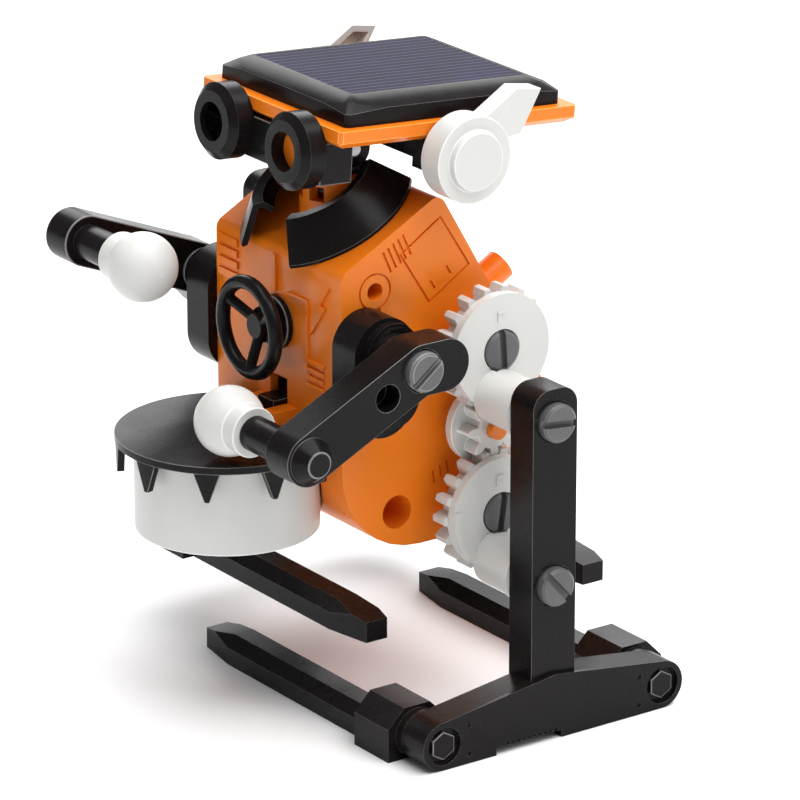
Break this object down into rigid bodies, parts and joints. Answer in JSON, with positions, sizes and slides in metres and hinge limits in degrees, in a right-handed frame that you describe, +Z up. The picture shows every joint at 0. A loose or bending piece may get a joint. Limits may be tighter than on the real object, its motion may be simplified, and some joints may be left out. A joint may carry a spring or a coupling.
{
  "type": "solar robot kit",
  "caption": "Walking, drumming toy robot with a tilting solar panel head, swinging arms, parallel-crank gears and comb-shaped feet.",
  "frame": {"origin": "on the ground, at the middle of the robot's footprint", "axes": "+Z up, the robot faces -Y, its left side is +X, millimetre design at real size"},
  "size_m": [0.1148, 0.1069, 0.1367],
  "materials": {
    "orange_plastic": "satin orange moulded plastic",
    "black_plastic": "satin black moulded plastic",
    "white_plastic": "satin white moulded plastic",
    "grey_plastic": "satin dark grey moulded plastic",
    "steel": "bright steel",
    "solar_cell": "dark blue cells under a clear glossy skin"
  },
  "bodies": {
    "housing": {"housing_left": "orange_plastic", "housing_right": "orange_plastic", "housing_screws": "grey_plastic", "neck_turret": "orange_plastic", "collar": "black_plastic", "wheel_seat": "black_plastic", "drum_shell": "white_plastic", "drum_crown": "black_plastic", "shoulder_left": "black_plastic", "shoulder_right": "black_plastic", "arm_screws": "grey_plastic", "motor_can": "steel", "motor_cap": "white_plastic", "reduction_axle": "steel", "lower_gear_screws": "grey_plastic"},
    "crankshaft": {"drive_shaft": "steel", "drive_gear": "white_plastic", "crank_gear_left": "white_plastic", "crank_gear_right": "white_plastic", "crank_gear_screws": "grey_plastic", "leg_top_screws": "grey_plastic"},
    "idler_wheel_left": {"idler_left": "white_plastic"},
    "idler_wheel_right": {"idler_right": "white_plastic"},
    "lower_wheel_left": {"lower_gear_left": "white_plastic", "lower_leg_screw_left": "grey_plastic"},
    "lower_wheel_right": {"lower_gear_right": "white_plastic", "lower_leg_screw_right": "grey_plastic"},
    "foot_left": {"leg_left": "black_plastic", "foot_beam_left": "black_plastic", "foot_bar_front_left": "black_plastic", "foot_bar_rear_left": "black_plastic", "foot_bolts_left": "black_plastic"},
    "foot_right": {"leg_right": "black_plastic", "foot_beam_right": "black_plastic", "foot_bar_front_right": "black_plastic", "foot_bar_rear_right": "black_plastic", "foot_bolts_right": "black_plastic"},
    "reducer": {"reduction_gear": "white_plastic"},
    "motor_rotor": {"motor_pinion": "steel"},
    "left_arm": {"arm_left": "black_plastic", "drumstick_left": "black_plastic", "drumstick_ball_left": "white_plastic"},
    "right_arm": {"arm_right": "black_plastic", "drumstick_right": "black_plastic", "drumstick_ball_right": "white_plastic"},
    "wheel": {"steering_wheel": "black_plastic"},
    "neck": {"neck_post": "black_plastic"},
    "head": {"tilt_pin": "steel", "head_bracket": "black_plastic", "head_plate": "orange_plastic", "solar_frame": "black_plastic", "solar_cell": "solar_cell", "eye_left": "black_plastic", "eye_right": "black_plastic", "eye_holder": "black_plastic"},
    "ears": {"ear_axle": "black_plastic", "ear_left": "white_plastic", "ear_right": "white_plastic"}
  },
  "joints": [
    {"name": "drive_spin", "type": "hinge", "parent": "housing", "child": "crankshaft", "pos_m": [0, 0.01644, 0.08044], "axis": [1, 0, 0], "continuous": true},
    {"name": "idler_left_spin", "type": "hinge", "parent": "housing", "child": "idler_wheel_left", "pos_m": [0.029, 0.01644, 0.06224], "axis": [1, 0, 0], "continuous": true},
    {"name": "idler_right_spin", "type": "hinge", "parent": "housing", "child": "idler_wheel_right", "pos_m": [-0.029, 0.01644, 0.06224], "axis": [1, 0, 0], "continuous": true},
    {"name": "lower_left_spin", "type": "hinge", "parent": "housing", "child": "lower_wheel_left", "pos_m": [0.029, 0.01644, 0.04404], "axis": [1, 0, 0], "continuous": true},
    {"name": "lower_right_spin", "type": "hinge", "parent": "housing", "child": "lower_wheel_right", "pos_m": [-0.029, 0.01644, 0.04404], "axis": [1, 0, 0], "continuous": true},
    {"name": "left_leg_pivot", "type": "hinge", "parent": "crankshaft", "child": "foot_left", "pos_m": [0.051, 0.01523, 0.07075], "axis": [1, 0, 0], "continuous": true},
    {"name": "right_leg_pivot", "type": "hinge", "parent": "crankshaft", "child": "foot_right", "pos_m": [-0.051, 0.01765, 0.09014], "axis": [1, 0, 0], "continuous": true},
    {"name": "reducer_spin", "type": "hinge", "parent": "housing", "child": "reducer", "pos_m": [0.014, 0.00759, 0.07425], "axis": [1, 0, 0], "continuous": true},
    {"name": "motor_spin", "type": "hinge", "parent": "housing", "child": "motor_rotor", "pos_m": [0.012, 0.00759, 0.06464], "axis": [1, 0, 0], "continuous": true},
    {"name": "left_arm_swing", "type": "hinge", "parent": "housing", "child": "left_arm", "pos_m": [0.041, -0.0111, 0.0843], "axis": [1, 0, 0], "range_deg": [-48, 0]},
    {"name": "right_arm_swing", "type": "hinge", "parent": "housing", "child": "right_arm", "pos_m": [-0.041, -0.0111, 0.0843], "axis": [1, 0, 0], "range_deg": [0, 48]},
    {"name": "steering_spin", "type": "hinge", "parent": "housing", "child": "wheel", "pos_m": [0, -0.02, 0.0837], "axis": [0, 1, 0], "continuous": true},
    {"name": "neck_turn", "type": "hinge", "parent": "housing", "child": "neck", "pos_m": [0, -0.0016, 0.115], "axis": [0, 0, 1], "range_deg": [-35, 35]},
    {"name": "head_tilt", "type": "hinge", "parent": "neck", "child": "head", "pos_m": [0, -0.0016, 0.1205], "axis": [1, 0, 0], "range_deg": [-7, 10]},
    {"name": "ears_turn", "type": "hinge", "parent": "head", "child": "ears", "pos_m": [0, 0.01093, 0.12229], "axis": [1, 0, 0], "range_deg": [-40, 60]}
  ],
  "couplings": [
    {"joint": "idler_left_spin", "follows": "drive_spin", "ratio": -2.25},
    {"joint": "idler_right_spin", "follows": "drive_spin", "ratio": -2.25},
    {"joint": "lower_left_spin", "follows": "drive_spin", "ratio": 1},
    {"joint": "lower_right_spin", "follows": "drive_spin", "ratio": 1},
    {"joint": "left_leg_pivot", "follows": "drive_spin", "ratio": -1},
    {"joint": "right_leg_pivot", "follows": "drive_spin", "ratio": -1},
    {"joint": "reducer_spin", "follows": "drive_spin", "ratio": -2},
    {"joint": "motor_spin", "follows": "drive_spin", "ratio": 6},
    {"joint": "right_arm_swing", "follows": "left_arm_swing", "ratio": -1}
  ]
}
